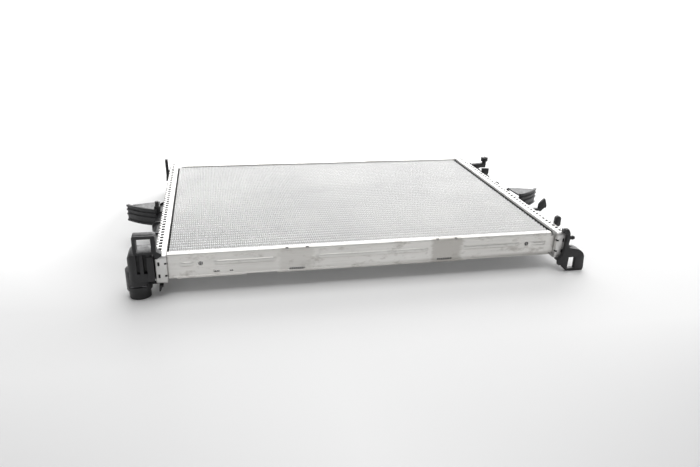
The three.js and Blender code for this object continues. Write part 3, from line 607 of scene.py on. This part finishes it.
def header_profile():
    """(inset, out) rows from the tray's base, round its bend, up the wall and over the folded lip."""
    turns = [math.radians(22.5 * i) for i in range(5)]
    bend = [(HEADER_BEND * (1 - math.sin(a)), HEADER_BEND * (1 - math.cos(a))) for a in turns]
    fold = [(HEADER_BEND * (1 - math.cos(a)), HEADER_DEPTH - HEADER_BEND * (1 - math.sin(a))) for a in turns]
    wall = [(0.0, WINDOW_OUT[0]), (0.0, WINDOW_OUT[1]), (0.0, TAB_ROOT)]
    return [(HEADER_BASE_INSET, 0.0)] + bend + wall + fold + [(LIP_REACH, HEADER_DEPTH - LIP_DROP)]


def edge_stations(half, places):
    """The spans along one edge of the tray, each with what is missing there: a window, a tab gap or None."""
    cuts = []
    for place in places:
        cuts.append((place - WINDOW_HALF, place + WINDOW_HALF, "window"))
    for place in [(a + b) / 2 for a, b in zip(places, places[1:])]:
        cuts.append((place - TAB_GAP_HALF, place + TAB_GAP_HALF, "gap"))
    cuts.sort()
    spans = []
    at = -half
    for low, high, kind in cuts:
        spans.append((at, low, None))
        spans.append((low, high, kind))
        at = high
    spans.append((at, half, None))
    return spans


def header_loop():
    """Points once round the tray's outer edge in (along, up), with the inward direction and the kind of
    the span that follows each point."""
    long_half = HEADER_HALF_LENGTH - HEADER_CORNER
    short_half = HEADER_HALF_HEIGHT - HEADER_CORNER
    sides = [
        (long_half, HEADER_HALF_HEIGHT, 0, CRIMP_PLACES),
        (short_half, HEADER_HALF_LENGTH, 1, []),
        (long_half, HEADER_HALF_HEIGHT, 2, CRIMP_PLACES),
        (short_half, HEADER_HALF_LENGTH, 3, []),
    ]
    loop = []
    for half, level, quarter, places in sides:
        turn = Matrix.Rotation(-math.pi / 2 * quarter, 2)
        for low, high, kind in edge_stations(half, places):
            loop.append((turn @ Vector((low, level)), turn @ Vector((0, -1)), kind))
        corner = Vector((half, level - HEADER_CORNER))
        for step in range(4):
            angle = math.pi / 2 * (1 - step / 4)
            outward = Vector((math.cos(angle), math.sin(angle)))
            point = corner + HEADER_CORNER * outward
            loop.append((turn @ point, turn @ -outward, None))
    return loop


def end_wall_cutters():
    """Blocks that cut the windows and the relief holes of both end walls."""
    length = HEADER_HALF_LENGTH + 1
    relief = HEADER_HALF_LENGTH - RELIEF_INWARD
    for z in END_WINDOW_LEVELS:
        window = (z - END_WINDOW_HALF, z + END_WINDOW_HALF)
        yield block("window", END_WINDOW_OUT, (-length, length), window, 0.8)
        hole = (z - RELIEF_HALF, z + RELIEF_HALF)
        for along in ((-length, -relief), (relief, length)):
            yield block("relief", (-1, RELIEF_REACH), along, hole, 0.6)


def header_piece(side):
    """A tray with crimp windows, a slit lip and pierced end walls."""
    profile = header_profile()
    loop = header_loop()
    bm = bmesh.new()
    rings = []
    for inset, out in profile:
        rings.append([bm.verts.new((out, *(point + inward * inset))) for point, inward, _ in loop])
    window_row = profile.index((0.0, WINDOW_OUT[0]))
    tab_row = profile.index((0.0, TAB_ROOT))
    count = len(loop)
    for row, (lower, upper) in enumerate(zip(rings, rings[1:])):
        for i, (_, _, kind) in enumerate(loop):
            if kind == "window" and row == window_row:
                continue
            if kind == "gap" and row >= tab_row:
                continue
            j = (i + 1) % count
            bm.faces.new((lower[i], upper[i], upper[j], lower[j]))
    bm.faces.new(rings[0])
    bmesh.ops.recalc_face_normals(bm, faces=bm.faces)
    header = object_from(bm, f"header_{side}_crimped")
    if header.data.polygons[-1].normal.x > 0:
        header.data.flip_normals()
    sheet = header.modifiers.new("sheet", "SOLIDIFY")
    sheet.thickness = HEADER_SHEET
    sheet.offset = -1
    sheet.use_even_offset = True
    apply_modifiers(header)
    for cutter in end_wall_cutters():
        difference(header, cutter)
    bevel(header, 0.25, 50)
    transform(header, in_end_frame(side))
    smooth_by_angle(header, 40)
    return header


# ---------------------------------------------------------------- side plates

PLATE_HALF_HEIGHT = (PLATE_HIGH.z - PLATE_LOW.z) / 2 / MM
PLATE_HALF_LENGTH = PLATE_HIGH.x / MM
PLATE_STATIONS = 301
PLATE_SHEET = 1.3
PLATE_BEND = 3.0
BEAD_LEVEL = 3.0
BEAD_HALF = 3.4
BEAD_PROUD = 2.0
BEAD_RUN = 5.0
BEADS = [(-284, -263), (-236, -146), (-88, 88), (144, 240), (260, 286)]
WEB_EDGE = 1.2
WEB_ROWS = 29
WEB_STEP = 0.8
WEB_RECESS = 0.8
PLATE_HOLES = [(-254.5, 3.3), (252.0, 3.6)]
LONG_SLOT = (-14, 1.5)
SHORT_SLOT = (-11, 1.2)
PLATE_SLOTS = [
    (-128, -105, LONG_SLOT),
    (103, 127, LONG_SLOT),
    (-237, -228, SHORT_SLOT),
    (-214, -209, SHORT_SLOT),
]
NOTCH_PLACES = [-131, -101, 101, 131]
NOTCH_HALF = 2.2
NOTCH_DEPTH = (3.4, 2.4)
LOWER_STEPS = [(-190, -145, 3.0), (151, 300, 2.5)]
END_CUTS = [((294, 301), (14, 30)), ((294, 301), (-30, -14)), ((-301, -288), (-30, -17.5))]
FLANGE_CUT = (-3, 12)
WEB_CUT = (-4, 4)


def plate_rows():
    """(y, z) of the plate's outer surface: lower flange, bend, web, bend, upper flange."""
    web_top = PLATE_HALF_HEIGHT - PLATE_BEND
    arc = [math.radians(15 * i) for i in range(7)]
    upper = [(PLATE_BEND * (1 - math.cos(a)), web_top + PLATE_BEND * math.sin(a)) for a in arc]
    lower = [(y, -z) for y, z in reversed(upper)]
    shoulder = web_top - WEB_EDGE
    levels = [(WEB_STEP - shoulder) * (1 - 2 * i / (WEB_ROWS - 1)) for i in range(WEB_ROWS)]
    web = [(0.0, -shoulder)] + [(WEB_RECESS, level) for level in levels] + [(0.0, shoulder)]
    return [(PLATE_FLANGE, -PLATE_HALF_HEIGHT)] + lower + web + upper + [(PLATE_FLANGE, PLATE_HALF_HEIGHT)]


def bead_height(x, z):
    """How far the pressed beads stand out of the web at a place on it."""
    across = 1 - ((z - BEAD_LEVEL) / BEAD_HALF) ** 2
    if across <= 0:
        return 0.0
    along = max(min(x - low, high - x) for low, high in BEADS)
    end = min(max(along / BEAD_RUN, 0.0), 1.0)
    return BEAD_PROUD * math.sqrt(across) * (3 * end**2 - 2 * end**3)


def plate_cutters():
    """What is cut from a side plate: holes, slots, lip notches, a stepped lower edge and its corners."""
    for x, radius in PLATE_HOLES:
        low, high = WEB_CUT
        yield rod("hole", radius, (x, low, BEAD_LEVEL), (x, high, BEAD_LEVEL))
    for x0, x1, (z, half) in PLATE_SLOTS:
        yield block("slot", (x0, x1), WEB_CUT, (z - half, z + half), 0.9)
    inward, down = NOTCH_DEPTH
    for x in NOTCH_PLACES:
        top = (PLATE_HALF_HEIGHT - down, PLATE_HALF_HEIGHT + 3)
        yield block("notch", (x - NOTCH_HALF, x + NOTCH_HALF), (-3, inward), top, 0.5)
    for x0, x1, rise in LOWER_STEPS:
        yield block("step", (x0, x1), FLANGE_CUT, (-PLATE_HALF_HEIGHT - 5, rise - PLATE_HALF_HEIGHT), 0.5)
    for x, z in END_CUTS:
        yield block("corner", x, FLANGE_CUT, z)


def side_plate_piece(side):
    """A pressed channel: a recessed web with raised beads, between two flanges."""
    rows = plate_rows()
    stations = np.linspace(-PLATE_HALF_LENGTH, PLATE_HALF_LENGTH, PLATE_STATIONS)
    vertices = []
    for x in stations:
        vertices += [(x, y - bead_height(x, z), z) for y, z in rows]
    width = len(rows)
    faces = [
        (i * width + j, (i + 1) * width + j, (i + 1) * width + j + 1, i * width + j + 1)
        for i in range(len(stations) - 1)
        for j in range(width - 1)
    ]
    plate = object_from_arrays(f"side_plate_{side}_pressed", vertices, faces)
    sheet = plate.modifiers.new("sheet", "SOLIDIFY")
    sheet.thickness = PLATE_SHEET
    sheet.offset = -1
    apply_modifiers(plate)
    for cutter in plate_cutters():
        difference(plate, cutter)
    transform(plate, in_plate_frame(side))
    smooth_by_angle(plate, 40)
    return plate


# ---------------------------------------------------------------- moulded pieces from the frame


TANK_ROUND = 0.0006
BRACKET_ROUND = 0.0008


def polished(node, round_by):
    """A new piece with a CAD node's shape: merged, its flats cleaned, and its edges rounded."""
    bm = bmesh.new()
    bm.from_mesh(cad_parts[node].data)
    bmesh.ops.remove_doubles(bm, verts=bm.verts, dist=2e-6)
    bmesh.ops.dissolve_limit(bm, angle_limit=math.radians(0.5), verts=bm.verts, edges=bm.edges)
    piece = object_from(bm, f"{node}_moulded")
    bevel(piece, round_by)
    smooth_by_angle(piece)
    return piece


# ---------------------------------------------------------------- stage


FLOOR_GAP = 0.0004


def pale_floor():
    """A level floor: pale grey in front, painted a little darker to the sides there as shade, and glowing
    white as painted light from beside the object, less so on its right, to the horizon."""
    n = Nodes("pale_floor")
    backward = n.span(n.axis("Y"), -0.25, 0.10, 0.0, 0.30)
    to_the_right = n.span(n.axis("X"), 0.3, 0.7, 1.0, 0.55)
    # painted light: the floor glows beside the object but not under it, so its shadow stays
    beside = n.product(backward, to_the_right, n.span(n.distance(), 0.42, 0.52))
    far = n.span(n.distance(), 0.8, 3.0, 0.0, 0.9)
    # painted shade: the floor's front corners are darker
    corner = n.product(n.span(n.axis("Y"), -0.40, -0.80, 0.0, 3.2), n.away("X", -0.1))
    n.shader.inputs["Emission Color"].default_value = WHITE
    material = n.set(
        Base_Color=n.mix(corner, (0.80, 0.80, 0.80), (0.60, 0.60, 0.605)),
        Roughness=n.span(n.noise(3.0, 3.0), 0.3, 0.7, 0.55, 0.65),
        Specular_IOR_Level=0.2,
        Emission_Strength=n.math("ADD", beside, far),
    )
    bm = bmesh.new()
    bmesh.ops.create_grid(bm, x_segments=8, y_segments=8, size=30.0)
    floor = object_from(bm, "floor")
    floor.location.z = CAD_BOUNDS[0].z - FLOOR_GAP
    floor.data.materials.append(material)
    floor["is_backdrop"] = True


def white_surroundings():
    """White for the camera, and a softer white as light on the object."""
    world = bpy.data.worlds.new("surroundings")
    world.use_nodes = True
    tree = world.node_tree
    background = tree.nodes["Background"]
    background.inputs["Color"].default_value = WHITE
    path = tree.nodes.new("ShaderNodeLightPath")
    strength = tree.nodes.new("ShaderNodeMapRange")
    strength.inputs["To Min"].default_value = 0.34
    strength.inputs["To Max"].default_value = 1.05
    tree.links.new(path.outputs["Is Camera Ray"], strength.inputs["Value"])
    tree.links.new(strength.outputs["Result"], background.inputs["Strength"])
    bpy.context.scene.world = world


def soft_light(name, place, target, size, power):
    light = bpy.data.lights.new(name, "AREA")
    light.shape = "RECTANGLE"
    light.size, light.size_y = size
    light.energy = power
    lamp = bpy.data.objects.new(name, light)
    bpy.context.scene.collection.objects.link(lamp)
    lamp.location = place
    lamp.rotation_euler = (Vector(target) - Vector(place)).to_track_quat("-Z", "Y").to_euler()


def lights():
    """A low bright wall behind the object, and a panel high over it."""
    soft_light("back_softbox", (0.6, 1.5, 0.75), (0, 0, 0.05), (3.2, 1.3), 42)
    soft_light("top_softbox", (0.0, 0.0, 2.2), (0, 0, 0), (2.0, 2.0), 35)


CAMERA_PLACE = (-0.22687, -1.03495, 0.42387)
CAMERA_YAW = 13.107
CAMERA_PITCH = 22.435
CAMERA_ROLL = 2.059
CAMERA_LENS = 31.43


def camera():
    data = bpy.data.cameras.new("camera")
    data.lens = CAMERA_LENS
    data.sensor_width = 36.0
    data.clip_start = 0.01
    data.clip_end = 100.0
    made = bpy.data.objects.new("camera", data)
    bpy.context.scene.collection.objects.link(made)
    yaw, pitch, roll = (math.radians(v) for v in (CAMERA_YAW, CAMERA_PITCH, CAMERA_ROLL))
    level = Matrix.Rotation(-yaw, 4, "Z") @ Matrix.Rotation(math.pi / 2 - pitch, 4, "X")
    made.matrix_world = Matrix.Translation(CAMERA_PLACE) @ level @ Matrix.Rotation(roll, 4, "Z")
    bpy.context.scene.camera = made


# ---------------------------------------------------------------- assembly


def build_pieces():
    """The pieces made here, each in its CAD node's place; the tubes and the fins stand for the core."""
    header_metal = header_aluminium()
    plate_metal = plate_aluminium()
    tank = moulded_plastic("tank_plastic", (0.007, 0.007, 0.008), (0.016, 0.016, 0.018))
    bracket = moulded_plastic("bracket_plastic", (0.006, 0.006, 0.007), (0.014, 0.014, 0.016), 0.45)
    finish_piece(core_tubes(), tube_aluminium(), "core")
    finish_piece(core_fins(), fin_aluminium())
    for side in ("left", "right"):
        finish_piece(header_piece(side), header_metal, f"header_{side}")
        finish_piece(polished(f"tank_{side}", TANK_ROUND), tank, f"tank_{side}")
    for side in ("front", "back"):
        finish_piece(side_plate_piece(side), plate_metal, f"side_plate_{side}")
    for node in ("loop_bracket_front_left", "socket_bracket_front_right", "foot_bracket_back_left"):
        finish_piece(polished(node, BRACKET_ROUND), bracket, node)


def dress_kept_nodes():
    """Materials for the CAD nodes that stay as they are."""
    rubber = seal_rubber()
    ring = ring_plastic()
    steel = spring_steel()
    drain = moulded_plastic("drain_plastic", (0.03, 0.03, 0.033), (0.045, 0.045, 0.05))
    kept = {
        "tank_gasket_left": rubber,
        "tank_gasket_right": rubber,
        "inlet_wire_clip": steel,
        "outlet_wire_clip": steel,
        "inlet_seal_ring": rubber,
        "outlet_seal_ring": rubber,
        "inlet_backing_ring": ring,
        "outlet_backing_ring": ring,
        "drain_plug": drain,
        "drain_plug_seal": rubber,
    }
    for node, material in kept.items():
        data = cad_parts[node].data
        data.materials.clear()
        data.materials.append(material)


build_pieces()
dress_kept_nodes()
pale_floor()
white_surroundings()
lights()
camera()
bpy.context.scene.view_settings.view_transform = "Standard"

boxes = {"cad": CAD_BOUNDS, "visual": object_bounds()}
{key: [list(corner) for corner in box] for key, box in boxes.items()}
